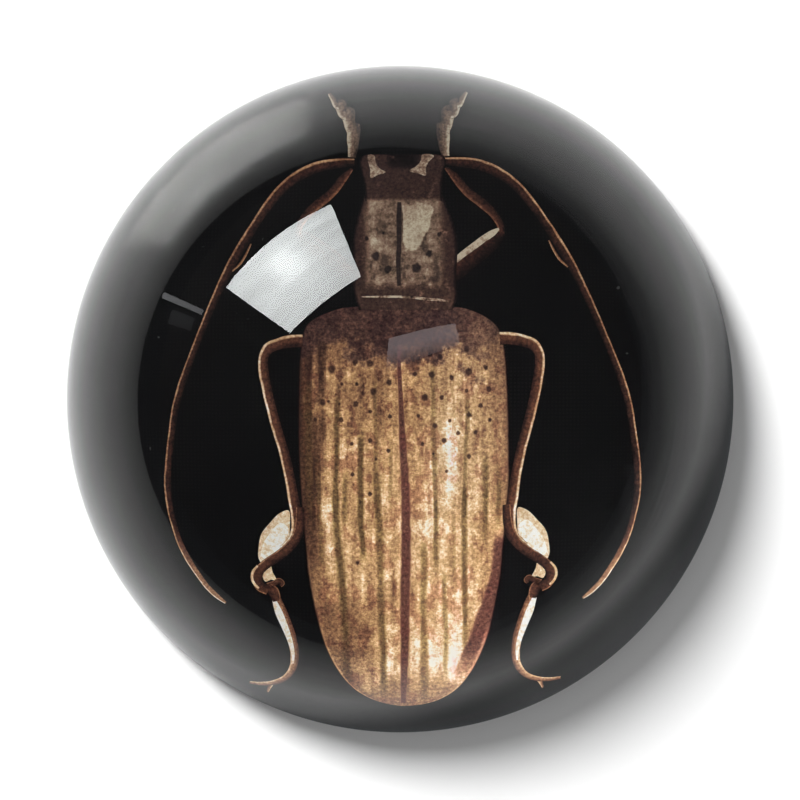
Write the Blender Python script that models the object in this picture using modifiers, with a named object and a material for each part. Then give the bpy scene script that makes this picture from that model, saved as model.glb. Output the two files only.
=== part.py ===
"""Domed picture paperweight: a clear dome over a round printed picture, on a felt pad.

Metres, +Z up. The origin is the centre of the underside, and the picture's top faces +Y.
"""

import math

import bpy

# Driving dimensions
DOME_R = 0.040          # radius of the dome where it is widest
CUT_DEPTH = 0.0015      # the flat base lies this far below the sphere's centre
BASE_ROUND = 0.0006     # rounding of the dome's bottom edge
PICTURE_R = 0.0388      # radius of the printed disc
PICTURE_T = 0.0004      # card thickness
FELT_R = 0.0382         # radius of the felt pad
FELT_T = 0.0015         # felt thickness
FELT_ROUND = 0.0004     # softened edge of the felt
GAP = 0.0003            # glue line between neighbouring pieces

# Facets
ROUND_STEPS = 96        # steps round each piece
CROWN_STEPS = 22        # steps from the dome's crown to its widest place
SKIRT_STEPS = 1         # steps from there down to the rounded edge
EDGE_STEPS = 3          # steps round a small rounded edge
MERGE_DIST = 0.00001
SHARP_ANGLE = math.radians(35)

# Heights that follow from the stack of pieces
PICTURE_Z = FELT_T + GAP
DOME_BASE_Z = PICTURE_Z + PICTURE_T + GAP
DOME_CENTRE_Z = DOME_BASE_Z + CUT_DEPTH

COLLECTION_NAME = "domed_picture_paperweight"


def clear_scene():
    for obj in list(bpy.data.objects):
        bpy.data.objects.remove(obj, do_unlink=True)


def new_collection(name):
    collection = bpy.data.collections.new(name)
    bpy.context.scene.collection.children.link(collection)
    return collection


def new_material(name, colour, roughness, transmission=0.0, ior=1.5):
    material = bpy.data.materials.new(name)
    material.use_nodes = True
    shader = material.node_tree.nodes["Principled BSDF"]
    shader.inputs["Base Color"].default_value = (*colour, 1.0)
    shader.inputs["Roughness"].default_value = roughness
    shader.inputs["Metallic"].default_value = 0.0
    shader.inputs["Transmission Weight"].default_value = transmission
    shader.inputs["IOR"].default_value = ior
    return material


def file_under(obj, collection, parent, material):
    """Puts the object in the collection, under the parent, with its material."""
    for owner in list(obj.users_collection):
        owner.objects.unlink(obj)
    collection.objects.link(obj)
    obj.parent = parent
    obj.data.materials.append(material)


def arc(centre_x, centre_z, radius, start, end, steps):
    """Points of an arc in the XZ plane. Angles are measured from +Z towards +X."""
    angles = [start + (end - start) * i / steps for i in range(steps + 1)]
    return [(centre_x + radius * math.sin(a), centre_z + radius * math.cos(a)) for a in angles]


def dome_profile():
    """From the crown down the side, round the bottom edge and in to the axis."""
    edge_z = -CUT_DEPTH + BASE_ROUND
    side_end = math.acos(edge_z / DOME_R)
    edge_r = DOME_R * math.sin(side_end)
    crown = arc(0.0, 0.0, DOME_R, 0.0, math.pi / 2, CROWN_STEPS)
    skirt = arc(0.0, 0.0, DOME_R, math.pi / 2, side_end, SKIRT_STEPS)
    edge = arc(edge_r - BASE_ROUND, edge_z, BASE_ROUND, math.pi / 2, math.pi, EDGE_STEPS)
    return crown + skirt[1:] + edge[1:] + [(0.0, -CUT_DEPTH)]


def turned(name, profile, location):
    """Turns an XZ profile round Z with a Screw modifier."""
    mesh = bpy.data.meshes.new(name)
    points = [(x, 0.0, z) for x, z in profile]
    mesh.from_pydata(points, [(i, i + 1) for i in range(len(points) - 1)], [])
    obj = bpy.data.objects.new(name, mesh)
    obj.location = location
    screw = obj.modifiers.new("turn", "SCREW")
    screw.angle = math.tau
    screw.steps = ROUND_STEPS
    screw.render_steps = ROUND_STEPS
    screw.use_smooth_shade = True
    screw.use_merge_vertices = True
    screw.merge_threshold = MERGE_DIST
    bpy.context.scene.collection.objects.link(obj)
    return obj


def disc(name, radius, thickness, bottom_z, rounding=0.0):
    """A flat round piece, with its edges rounded if a rounding is given."""
    bpy.ops.mesh.primitive_cylinder_add(
        vertices=ROUND_STEPS,
        radius=radius,
        depth=thickness,
        location=(0.0, 0.0, bottom_z + thickness / 2),
    )
    obj = bpy.context.object
    obj.name = name
    obj.data.name = name
    obj.data.shade_smooth()
    obj.data.set_sharp_from_angle(angle=SHARP_ANGLE)
    if rounding:
        bevel = obj.modifiers.new("soft_edge", "BEVEL")
        bevel.width = rounding
        bevel.segments = EDGE_STEPS
        bevel.limit_method = "ANGLE"
        bevel.angle_limit = SHARP_ANGLE
    return obj


def build():
    clear_scene()
    collection = new_collection(COLLECTION_NAME)

    paperweight = bpy.data.objects.new("paperweight", None)
    paperweight.empty_display_size = DOME_R
    collection.objects.link(paperweight)

    felt = disc("felt_pad", FELT_R, FELT_T, 0.0, FELT_ROUND)
    black_felt = new_material("black_felt", (0.012, 0.012, 0.013), 0.95)
    file_under(felt, collection, paperweight, black_felt)

    picture = disc("picture_disc", PICTURE_R, PICTURE_T, PICTURE_Z)
    printed_card = new_material("printed_card", (0.010, 0.009, 0.009), 0.60)
    file_under(picture, collection, paperweight, printed_card)

    dome = turned("clear_dome", dome_profile(), (0.0, 0.0, DOME_CENTRE_Z))
    clear_glass = new_material("clear_glass", (1.0, 1.0, 1.0), 0.0, transmission=1.0)
    file_under(dome, collection, paperweight, clear_glass)


build()
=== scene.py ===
from math import pi, radians, tau

import bmesh
import bpy
import numpy as np
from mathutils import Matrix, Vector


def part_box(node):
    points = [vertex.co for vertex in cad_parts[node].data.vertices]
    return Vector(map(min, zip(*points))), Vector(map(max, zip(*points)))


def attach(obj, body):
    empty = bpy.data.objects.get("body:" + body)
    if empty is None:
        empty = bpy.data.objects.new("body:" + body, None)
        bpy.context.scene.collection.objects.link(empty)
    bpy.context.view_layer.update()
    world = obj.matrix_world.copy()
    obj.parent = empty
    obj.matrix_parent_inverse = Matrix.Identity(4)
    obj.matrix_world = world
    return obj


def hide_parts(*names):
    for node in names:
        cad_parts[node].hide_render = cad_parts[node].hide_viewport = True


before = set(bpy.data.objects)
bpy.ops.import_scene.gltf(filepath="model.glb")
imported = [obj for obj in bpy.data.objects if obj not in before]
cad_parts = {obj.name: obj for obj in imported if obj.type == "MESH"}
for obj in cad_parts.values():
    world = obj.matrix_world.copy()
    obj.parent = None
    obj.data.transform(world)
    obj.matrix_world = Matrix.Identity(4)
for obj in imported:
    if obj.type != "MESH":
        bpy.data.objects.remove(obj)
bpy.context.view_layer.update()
print("frame loaded:", sorted(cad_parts))

mm = 0.001
domeLow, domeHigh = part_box("clear_dome")
feltLow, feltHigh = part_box("felt_pad")
domeRadius = (domeHigh.x - domeLow.x) / 2
domeCentreZ = domeHigh.z - domeRadius
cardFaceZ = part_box("picture_disc")[1].z

# The picture is laid out for an eye straight above the dome.
eyeSet = {
    "height": 0.60,        # of the eye above the dome's centre
    "fieldWidth": 0.0962,  # of what the camera frames, at the height of the dome's centre
    "lookDown": 0.00012,   # how far the frame's middle lies towards the beetle's tail
}
glassIor = 1.5


class Wire:
    # One shader socket. Arithmetic on it adds the Math node that does the same.
    def __init__(self, nodes, socket):
        self.nodes = nodes
        self.socket = socket

    def maths(self, operation, *values):
        settings = {"operation": operation}
        return self.nodes.node("ShaderNodeMath", settings, dict(enumerate(values)))

    def __add__(self, other):
        return self.maths("ADD", self, other)

    def __radd__(self, other):
        return self.maths("ADD", other, self)

    def __sub__(self, other):
        return self.maths("SUBTRACT", self, other)

    def __rsub__(self, other):
        return self.maths("SUBTRACT", other, self)

    def __mul__(self, other):
        return self.maths("MULTIPLY", self, other)

    def __rmul__(self, other):
        return self.maths("MULTIPLY", other, self)

    def __truediv__(self, other):
        return self.maths("DIVIDE", self, other)

    def __pow__(self, other):
        return self.maths("POWER", self, other)


class Nodes:
    # A node tree in the making. Sockets are given by identifier, name or place in the row.
    def __init__(self, tree):
        self.tree = tree

    def node(self, kind, settings, sockets, output=0):
        made = self.tree.nodes.new(kind)
        for key, value in settings.items():
            setattr(made, key, value)
        for key, value in sockets.items():
            named = [s for s in made.inputs if s.identifier == key]
            self.feed(named[0] if named else made.inputs[key], value)
        return Wire(self, made.outputs[output])

    def feed(self, socket, value):
        if isinstance(value, Wire):
            self.tree.links.new(value.socket, socket)
        elif isinstance(value, tuple) and len(socket.default_value) == 4:
            socket.default_value = (*value, 1.0)
        else:
            socket.default_value = value

    def flat(self, place):
        # the x and the y of a place
        return [self.node("ShaderNodeSeparateXYZ", {}, {0: place}, i) for i in (0, 1)]


class Paint(Nodes):
    # A material in the making, with the few patterns that several finishes share.
    def __init__(self, name, roughness=0.5, specular=0.5):
        self.material = bpy.data.materials.new(name)
        self.material.use_nodes = True
        super().__init__(self.material.node_tree)
        self.shader = self.tree.nodes["Principled BSDF"]
        self.set("Roughness", roughness)
        self.set("Specular IOR Level", specular)

    def set(self, socket, value):
        self.feed(self.shader.inputs[socket], value)

    def mark(self, name, output=2):
        return self.node("ShaderNodeAttribute", {"attribute_name": name}, {}, output)

    def place(self, stretch=(1.0, 1.0, 1.0)):
        own = self.node("ShaderNodeTexCoord", {}, {}, 3)
        settings = {"operation": "MULTIPLY"}
        return self.node("ShaderNodeVectorMath", settings, {0: own, 1: stretch})

    def distance(self, spot):
        sockets = {0: self.place(), 1: spot}
        return self.node("ShaderNodeVectorMath", {"operation": "DISTANCE"}, sockets, 1)

    def noise(self, scale, detail=2.0, stretch=(1.0, 1.0, 1.0), roughness=0.5):
        sockets = {"Vector": self.place(stretch), "Scale": scale, "Detail": detail}
        sockets["Roughness"] = roughness
        return self.node("ShaderNodeTexNoise", {}, sockets)

    def step(self, value, low, high):
        # 0 at low and 1 at high, with a soft turn at both ends
        settings = {"interpolation_type": "SMOOTHSTEP"}
        sockets = {"Value": value, "From Min": low, "From Max": high}
        return self.node("ShaderNodeMapRange", settings, sockets)

    def band(self, value, centre, half, soft):
        # 1 within half of the centre, falling to 0 over soft on both sides
        away = value - centre
        return self.step(away.maths("ABSOLUTE", away), half + soft, half)

    def blend(self, first, second, factor):
        # from the first number to the second as the factor goes from 0 to 1
        return first + (second - first) * factor

    def ramp(self, value, stops):
        made = self.node("ShaderNodeValToRGB", {}, {"Fac": value})
        elements = made.socket.node.color_ramp.elements
        for at, colour in stops[2:]:
            elements.new(at)
        for element, (at, colour) in zip(elements, stops):
            element.position = at
            element.color = (*colour, 1.0)
        return made

    def mix(self, factor, first, second, how="MIX"):
        sockets = {"Factor_Float": factor, "A_Color": first, "B_Color": second}
        settings = {"data_type": "RGBA", "blend_type": how}
        return self.node("ShaderNodeMix", settings, sockets, 2)

    def bump(self, height, distance, strength=1.0):
        sockets = {"Height": height, "Distance": distance, "Strength": strength}
        self.set("Normal", self.node("ShaderNodeBump", {}, sockets))

    def glow(self, colour, level):
        # The surface only gives off light: the colour times a level, which may vary.
        sockets = {0: colour, "Scale": level}
        shade = self.node("ShaderNodeVectorMath", {"operation": "SCALE"}, sockets)
        glow = self.node("ShaderNodeEmission", {}, {"Color": shade, "Strength": 1.0})
        self.give("Surface", glow)

    def give(self, kind, shader):
        self.feed(self.tree.nodes["Material Output"].inputs[kind], shader)


def smoothLine(points, count, closed=False):
    # A cubic through each pair of points by chord length, whose slope at a point is the
    # weighted mean of the slopes on its two sides. Extra columns, such as widths, go along.
    line = np.asarray(points, float)
    extra = 3 if closed else 0
    if closed:
        line = np.concatenate([line[-extra:], line, line[:extra + 1]])
    steps = np.linalg.norm(np.diff(line, axis=0), axis=1)
    knots = np.concatenate([[0.0], np.cumsum(steps)])
    slopes = np.gradient(line, knots, axis=0)
    last = len(line) - 1 - extra
    at = np.linspace(knots[extra], knots[last], count, endpoint=not closed)
    i = np.clip(np.searchsorted(knots, at, side="right") - 1, 0, len(line) - 2)
    gap = (knots[i + 1] - knots[i])[:, None]
    s = (at - knots[i])[:, None] / gap
    return (line[i] * (2 * s**3 - 3 * s**2 + 1) + line[i + 1] * (3 * s**2 - 2 * s**3)
            + slopes[i] * gap * (s**3 - 2 * s**2 + s) + slopes[i + 1] * gap * (s**3 - s**2))


def underDome(seen):
    # A place seen at (x, y) on the level of the dome's centre lies where the line from the
    # eye through it, bent once at the dome by Snell's law, meets the card.
    eye = np.array([0.0, 0.0, eyeSet["height"]])
    aim = np.concatenate([seen, np.zeros(seen.shape[:-1] + (1,))], axis=-1) - eye
    aim /= np.linalg.norm(aim, axis=-1, keepdims=True)
    along = aim @ eye
    depth = np.maximum(along**2 - eye @ eye + domeRadius**2, 0.0)
    hit = eye + (-along - np.sqrt(depth))[..., None] * aim
    normal = hit / np.linalg.norm(hit, axis=-1, keepdims=True)
    slant = -np.sum(aim * normal, axis=-1)
    bent = np.sqrt(1 - (1 - slant**2) / glassIor**2)
    inside = aim / glassIor + (slant / glassIor - bent)[..., None] * normal
    reach = (cardFaceZ - domeCentreZ - hit[..., 2]) / inside[..., 2]
    return (hit + reach[..., None] * inside)[..., :2]


def otherHalf(drawn):
    # The mirror image across the picture's midline, which leans a little on the card.
    lean = radians(pictureSet["lean"])
    across = np.array([np.cos(lean), np.sin(lean)])
    middle = np.array([pictureSet["offset"], 0.0])
    return drawn - 2 * ((drawn - middle) @ across)[..., None] * across


def surface(name, grid, marks=None, closed=False, poles=False):
    # Grids of points, (rows, columns, 3) or a stack of them, made one mesh. A closed grid
    # joins its last column to its first.
    index = np.arange(grid[..., 0].size).reshape(grid.shape[:-1])
    after = np.roll(index, -1, axis=-1)
    if not closed:
        index, after = index[..., :-1], after[..., :-1]
    corners = index[..., :-1, :], index[..., 1:, :], after[..., 1:, :], after[..., :-1, :]
    mesh = bpy.data.meshes.new(name)
    mesh.from_pydata(grid.reshape(-1, 3), [], np.stack(corners, axis=-1).reshape(-1, 4))
    for key, values in (marks or {}).items():
        vector = values.shape == grid.shape
        layer = mesh.attributes.new(key, "FLOAT_VECTOR" if vector else "FLOAT", "POINT")
        flat = np.ascontiguousarray(values, np.float32).ravel()
        layer.data.foreach_set("vector" if vector else "value", flat)
    if poles:
        work = bmesh.new()
        work.from_mesh(mesh)
        bmesh.ops.remove_doubles(work, verts=work.verts, dist=1e-7)
        work.to_mesh(mesh)
        work.free()
    mesh.update()
    piece = bpy.data.objects.new(name, mesh)
    bpy.context.scene.collection.objects.link(piece)
    return piece


def turned(name, profile, turns):
    # A profile of (radius, height) carried round Z, from its top middle outwards and down.
    angle = np.arange(turns) * tau / turns
    radius, height = profile[:, 0, None], profile[:, 1, None]
    grid = np.stack([radius * np.cos(angle), radius * np.sin(angle),
                     height + 0 * angle], axis=-1)
    piece = surface(name, grid, closed=True, poles=True)
    piece.data.shade_smooth()
    return piece


def finish(piece, paint, replaced=()):
    piece.data.materials.clear()
    piece.data.materials.append(paint.material)
    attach(piece, "root")
    if replaced:
        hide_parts(*replaced)
    return piece


pictureSet = {
    "lean": 0.74,          # degrees that the beetle's midline leans
    "offset": 0.155 * mm,  # of the midline from the card's centre
    "layer": 0.006 * mm,   # height of one layer of ink above the next
    "film": 0.004 * mm,    # thickness of a film of ink
}


def ink(name, seen, paint, layer, side=1, closed=False, poles=False, **marks):
    # A grid of places as seen through the dome, in mm, laid on the card as a film of ink.
    drawn = underDome(seen * mm)
    if side < 0:
        drawn = otherHalf(drawn)
    height = np.full_like(drawn[..., :1], cardFaceZ + layer * pictureSet["layer"])
    grid = np.concatenate([drawn, height], axis=-1)
    marks["seen"] = np.concatenate([seen, np.zeros_like(seen[..., :1])], axis=-1)
    down = np.diff(drawn, axis=-3)[..., :, :-1, :]
    over = np.diff(drawn, axis=-2)[..., :-1, :, :]
    if np.sum(down[..., 0] * over[..., 1] - down[..., 1] * over[..., 0]) < 0:
        grid = grid[..., ::-1, :]
        marks = {key: values[..., ::-1, :] if values.ndim == grid.ndim else values[..., ::-1]
                 for key, values in marks.items()}
    piece = surface(name, grid, marks, closed, poles)
    solid = piece.modifiers.new("film", "SOLIDIFY")
    solid.thickness = pictureSet["film"]
    solid.offset = -1.0
    return finish(piece, paint)


def stroke(name, line, paint, layer, side=1, lit=1, rows=60, columns=9, creased=False):
    # A line of (x, y, half width) points, or (x, y, left half, right half), made a blade:
    # each point steps out at right angles to the smooth line by its share of the half width.
    # The mark across runs from -1 on the shaded edge to 1 on the lit one. On a creased
    # stroke, across stays 0 and the mark crease is 1 along the middle.
    path = smoothLine(line, rows)
    ahead = np.gradient(path[:, :2], axis=0)
    ahead /= np.linalg.norm(ahead, axis=1, keepdims=True)
    right = np.stack([ahead[:, 1], -ahead[:, 0]], axis=1)
    share = np.linspace(-1, 1, columns)[None, :]
    half = np.where(share < 0, path[:, 2, None], path[:, -1, None])
    seen = path[:, None, :2] + right[:, None, :] * (share * half)[..., None]
    across = np.broadcast_to(share * lit, seen.shape[:2])
    along = np.broadcast_to(np.linspace(0, 1, rows)[:, None], seen.shape[:2])
    if creased:
        return ink(name, seen, paint, layer, side, crease=1 - abs(across), across=0 * across)
    return ink(name, seen, paint, layer, side, across=across, along=along)


def rowed(name, outline, paint, layer, rows=120, columns=61):
    # Rows of (y, left x, right x) made a shape that runs straight across between its sides.
    path = smoothLine(outline, rows)
    share = np.linspace(-1, 1, columns)[None, :]
    left, right = path[:, 1, None], path[:, 2, None]
    x = (left + right) / 2 + share * (right - left) / 2
    seen = np.stack([x, path[:, 0, None] + 0 * x], axis=-1)
    return ink(name, seen, paint, layer, across=np.broadcast_to(share, x.shape))


def patch(name, outline, paint, layer, side=1, rings=7, count=56, mark=None):
    # A closed line filled by rings that shrink towards its middle. A mark, if one is named,
    # is 1 in the middle and 0 at the rim.
    rim = smoothLine(outline, count, closed=True)
    share = np.linspace(0, 1, rings)[:, None]
    middle = rim.mean(axis=0)
    seen = middle + share[..., None] * (rim[None] - middle)
    flat = np.zeros(seen.shape[:2])
    marks = {mark: flat + 1 - share} if mark else {}
    return ink(name, seen, paint, layer, side, closed=True, poles=True, across=flat, **marks)


def printed(*shade):
    # an ink given as an 8-bit sRGB colour, made linear
    share = np.array(shade) / 255
    return tuple(np.where(share < 0.04045, share / 12.92, ((share + 0.055) / 1.055) ** 2.4))


def toneStops(*shades):
    # stops of a ramp that runs over brightness, each placed at its own colour's brightness
    weight = np.array([0.30, 0.59, 0.11]) / 255
    return [(float(np.dot(shade, weight)), printed(*shade)) for shade in shades]


tones = {
    "elytra": toneStops((14, 11, 11), (30, 22, 20), (52, 34, 29), (69, 47, 40), (86, 58, 43),
                        (120, 88, 66), (146, 109, 78), (176, 137, 97), (205, 165, 118),
                        (230, 195, 150), (247, 234, 204), (250, 246, 236)),
    "front": toneStops((14, 12, 12), (33, 27, 27), (47, 37, 36), (64, 50, 44), (87, 69, 57),
                       (106, 85, 70), (124, 100, 84), (146, 123, 104), (169, 151, 129),
                       (196, 184, 160)),
    "limb": toneStops((14, 11, 11), (38, 26, 24), (62, 38, 33), (92, 56, 43), (120, 80, 58),
                      (152, 108, 78), (186, 141, 104), (222, 190, 148), (242, 226, 196),
                      (252, 250, 244)),
}
night = printed(13, 13, 14)


def inkPaint(name):
    return Paint(name, roughness=0.40, specular=0.04)


def grain(paint):
    # the fine uneven stipple of a plate, about 0 in the mean
    return paint.noise(3600, 3.0, roughness=0.80) - 0.5


def seenPlace(paint):
    return paint.flat(paint.mark("seen", 1))


def grained(paint, tone, stops, amount=1.0):
    # stipple as strong as the tone allows, then the ink of that tone
    swing = tone * (1.25 - tone * 0.75) * grain(paint) * (2.35 * amount)
    return paint.ramp(tone + swing, stops)


elytraSet = {
    "outline": [
        (11.1, -5.28, 6.24), (10.9, -7.2, 7.92), (10.4, -8.76, 9.36), (9.7, -10.32, 10.68),
        (8.8, -11.4, 11.76), (7.4, -11.88, 12.42), (5.6, -12.12, 12.72), (2.5, -12.26, 12.96),
        (-0.5, -12.32, 13.1), (-5.8, -12.32, 13.2), (-9.2, -12.18, 13.22),
        (-13.3, -11.88, 12.96), (-17.4, -11.5, 12.54), (-20.9, -11.16, 12.24),
        (-24.5, -10.5, 11.58), (-27.7, -9.72, 10.86), (-30.4, -8.76, 9.9),
        (-32.8, -7.44, 8.64), (-34.7, -5.76, 7.08), (-35.9, -3.84, 5.28),
        (-36.6, -1.8, 3.24), (-36.9, -0.12, 1.32),
    ],
    # lengthwise streaks, from (x, y) to (x, y), half width, strength
    "streaks": [
        (-7.5, 0.5, -7.7, -13, 0.34, 0.80), (-7.7, -11, -6.4, -34, 0.48, 0.75),
        (-4.75, -4, -4.55, -19, 0.36, 0.90), (-3.1, 2.5, -2.8, -13, 0.24, 0.45),
        (-2.8, -9, -1.9, -35, 0.42, 0.70), (-1.2, -5, -1.2, -12, 0.26, 0.30),
        (-11.0, 2, -10.9, -14, 0.50, 0.60), (-10.0, -7, -9.5, -20, 0.32, 0.50),
        (-6.5, -9, -6.5, -15, 0.34, 0.55), (3.8, 4.5, 4.4, -13, 0.30, 0.50),
        (4.4, -12, 4.4, -20, 0.28, 0.65), (2.95, -17, 3.05, -36, 0.42, 0.55),
        (5.3, -21, 5.6, -33, 0.28, 0.50), (8.2, 0.5, 7.75, -13, 0.26, 0.55),
        (7.75, -11, 7.75, -30, 0.32, 0.70), (10.3, -7, 10.2, -16.5, 0.36, 0.80),
        (11.9, -8, 11.9, -15, 0.30, 0.55), (6.5, -14, 6.6, -24, 0.24, 0.25),
    ],
    # pale strokes, the same way
    "lights": [
        (6.3, -2.5, 5.9, -12.5, 1.15, 0.16), (6.6, -6, 6.6, -9, 0.60, 0.06),
        (6.6, -25, 6.6, -33, 1.20, 0.20), (1.7, -28, 1.7, -35, 0.70, 0.16),
        (-1.9, -19, -1.9, -24.5, 0.80, 0.10), (-0.9, -29, -0.9, -33, 0.50, 0.16),
        (4.2, -28, 4.2, -34.5, 0.60, 0.16), (11.9, -14.5, 12.0, -17.5, 0.45, 0.26),
    ],
    "dots": [
        (-8.2, 3.6, 0.56), (-5.4, 4.4, 0.42), (-3.6, 4.3, 0.5), (-1.3, 2, 0.41),
        (-3.2, 0.9, 0.5), (-5.2, 1.8, 0.25), (-7, 1.8, 0.23), (-9.3, -0.4, 0.43),
        (-8.6, -0.3, 0.22), (-5.3, -0.6, 0.43), (-3.6, -1.5, 0.28), (-1.2, -2.1, 0.31),
        (-7.3, -0.6, 0.18), (-3.6, -5, 0.31), (-5.8, -5.4, 0.26), (-1.4, -6.2, 0.31),
        (-2.9, -7.2, 0.22), (-5.7, -9.1, 0.31), (-3.6, -11.4, 0.31), (-4.8, 6.6, 0.34),
        (-9.4, 3.1, 0.31), (-10.2, -2.5, 0.24), (-7.1, -2.5, 0.36), (1.8, 3, 0.29),
        (3.8, 2.9, 0.43), (4.8, 5.1, 0.41), (6.2, 2.6, 0.38), (8.3, 3.3, 0.5), (8, 6, 0.41),
        (10.3, 3.8, 0.36), (10.7, 1.2, 0.41), (8, 1, 0.26), (3, 0.2, 0.46), (5, 0.2, 0.34),
        (9.7, -0.8, 0.34), (8.3, -1.9, 0.4), (2.2, -2, 0.26), (6, -2.6, 0.26),
        (10.8, -2.5, 0.29), (4.2, -3.2, 0.34), (9.1, -4, 0.31), (7, -4.1, 0.3),
        (5.3, -5, 0.36), (2.7, -5.4, 0.29), (8.3, -6.9, 0.31), (5.6, -8.7, 0.23),
        (4, -6.6, 0.19), (-5.1, -19.7, 0.26),
    ],
    "sutureSpread": 1.9,  # of its soft edges beyond the dark core
    "suture": [
        (-0.1, 6.5, 0.14), (-0.1, 4.1, 0.19), (0.1, -0.1, 0.24), (0.3, -4.9, 0.34),
        (0.6, -9.7, 0.43), (0.7, -14.5, 0.48), (0.7, -19.3, 0.5), (0.6, -24.1, 0.5),
        (0.6, -28.9, 0.44), (0.5, -33.1, 0.36), (0.4, -36.6, 0.24),
    ],
}


def brushed(paint, x, y, line):
    # a stroke from one place to another, softest at its edges and fading at its ends
    x1, y1, x2, y2, half = line
    along = paint.node("ShaderNodeMapRange", {}, {"Value": y, "From Min": y1, "From Max": y2})
    centre = along * (x2 - x1) + x1
    return (paint.band(x, centre, half * 0.25, half * 1.25)
            * paint.step(y, y1 + 1.0, y1 - 1.6) * paint.step(y, y2 - 1.6, y2 + 1.6))


def elytraPaint():
    paint = inkPaint("elytra_ink")
    across = paint.mark("across")
    x, y = seenPlace(paint)
    cloud = paint.noise(360, 3.0) - 0.5
    rough = paint.noise(1100, 4.0, roughness=0.65) - 0.5
    hair = paint.noise(1500, 3.0, (1.0, 0.06, 1.0)) - 0.5
    mottle = paint.noise(1250, 3.0, (1.0, 0.7, 1.0), 0.62) - 0.5
    worn = paint.step(mottle + cloud * 0.5, 0.01, 0.13)
    fleck = paint.step(mottle - cloud * 0.3, -0.04, -0.14)
    sway = x + (paint.noise(330, 2.0, (1.0, 0.5, 1.0)) - 0.5) * 0.9
    # brightness grows to the right and downwards
    tone = (0.52 + paint.step(x, -3.0, 6.0) * 0.09 + paint.step(y, -3.0, -18.0) * 0.08
            + paint.step(y, -24.0, -31.0) * paint.step(x, -3.0, 5.0) * 0.08
            + paint.step(x, 1.5, -2.0) * paint.step(y, -2.0, -7.0) * 0.07
            + cloud * 0.50 + rough * 0.20 + hair * 0.75 - worn * 0.15 + fleck * 0.10)
    for *line, strength in elytraSet["lights"]:
        tone = tone + brushed(paint, sway, y, line) * strength * (1.0 + rough * 1.5)
    # darker left and right edges, a blotch at the lower left, and the tip
    ragged = across + cloud * 0.25 + hair * 0.30
    left = paint.step(ragged, -0.66, -0.90) * (1 - paint.step(y, -14.0, -22.0) * 0.50)
    tone = paint.blend(tone, 0.185 + hair * 0.3 + fleck * 0.05, left * 0.97)
    right = paint.step(ragged, 0.76, 0.95) * paint.step(y, -20.0, -10.0)
    tone = paint.blend(tone, 0.33 + hair * 0.5, right * 0.75)
    blotch = (paint.band(x + cloud * 6, -6.0, 1.4, 3.6)
              * paint.band(y + cloud * 8, -27.6, 2.2, 4.5))
    tone = paint.blend(tone, 0.37 + rough * 0.4 - worn * 0.06, blotch * 0.80)
    tone = paint.blend(tone, 0.38 + rough * 0.4, paint.step(y + cloud * 6, -32.6, -36.4) * 0.75)
    # the dark shoulders
    edgeY = y + x * 0.03 + cloud * 11 + rough * 10
    shoulder = paint.step(edgeY, 3.6, 6.6) * (1 - paint.step(x, 5.5, 10.5) * 0.35)
    tone = paint.blend(tone, 0.215 + rough * 0.30 - worn * 0.03, shoulder)
    # grey-green streaks down each wing case
    moss = 0.0
    patchy = paint.step(hair + rough + cloud * 0.5, -0.26, 0.06)
    for *line, strength in elytraSet["streaks"]:
        moss = brushed(paint, sway, y, line) * strength + moss
    moss = moss.maths("MINIMUM", moss * 1.25, 1.0) * (0.55 + patchy * 0.45)
    tone = paint.blend(tone, 0.27, moss * 0.92)
    # the right edge's maroon band, with a pale rim outside it near the tip
    inner = 0.885 - paint.step(y, -19.0, -33.0) * 0.15
    band = paint.step(across - inner + rough * 0.06, -0.02, 0.03) * paint.step(y, -15.4, -17.6)
    band = band * (1 - paint.step(y, -29.6, -33.6) * 0.80)
    tone = paint.blend(tone, 0.29 + rough * 0.14, band * 0.97)
    rim = paint.step(across + rough * 0.06, 0.925, 0.965) * paint.step(y, -26.5, -29.5)
    rimLeft = paint.step(across + rough * 0.05, -0.945, -0.98) * paint.step(y, -26.0, -31.0)
    tone = paint.blend(tone, 0.74, (rim + rimLeft) * 0.8)
    # the seam between the wing cases and the punctures
    fuzz = grain(paint) * 0.9 + rough * 0.25
    crease = paint.step(paint.mark("crease") + fuzz, 0.26, 0.56)
    tone = paint.blend(tone, 0.265 + rough * 0.12, crease * 0.96)
    spot = paint.step(paint.mark("spot") + fuzz, 0.30, 0.66)
    tone = paint.blend(tone, 0.15, spot * 0.90)
    fade = paint.step(across.maths("ABSOLUTE", across) + fuzz * 0.04, 0.998, 0.972)
    tone = tone * (0.12 + fade * 0.88)
    colour = grained(paint, tone, tones["elytra"])
    red = band.maths("MAXIMUM", band, crease)
    colour = paint.mix(red, colour, (1.0, 0.82, 1.08), "MULTIPLY")
    blush = worn * (0.9 - shoulder * 0.5)
    colour = paint.mix(blush, colour, (1.0, 0.86, 0.92), "MULTIPLY")
    colour = paint.mix(shoulder, colour, (0.95, 1.0, 1.25), "MULTIPLY")
    colour = paint.mix(moss, colour, (0.90, 1.05, 0.85), "MULTIPLY")
    colour = paint.mix(1.0, colour, (1.03, 1.0, 0.98), "MULTIPLY")
    cool = paint.step(x, 1.5, 5.0) * paint.step(y, -16.0, -8.0)
    colour = paint.mix(cool, colour, (1.0, 1.05, 1.12), "MULTIPLY")
    paint.set("Base Color", colour)
    return paint


def toneInk(name, tone, mottle, stops, amount=1.0):
    # one tone, unevenly inked
    paint = inkPaint(name)
    rough = paint.noise(900, 3.0) - 0.5
    paint.set("Base Color", grained(paint, tone + rough * mottle, stops, amount))
    return paint


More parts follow.
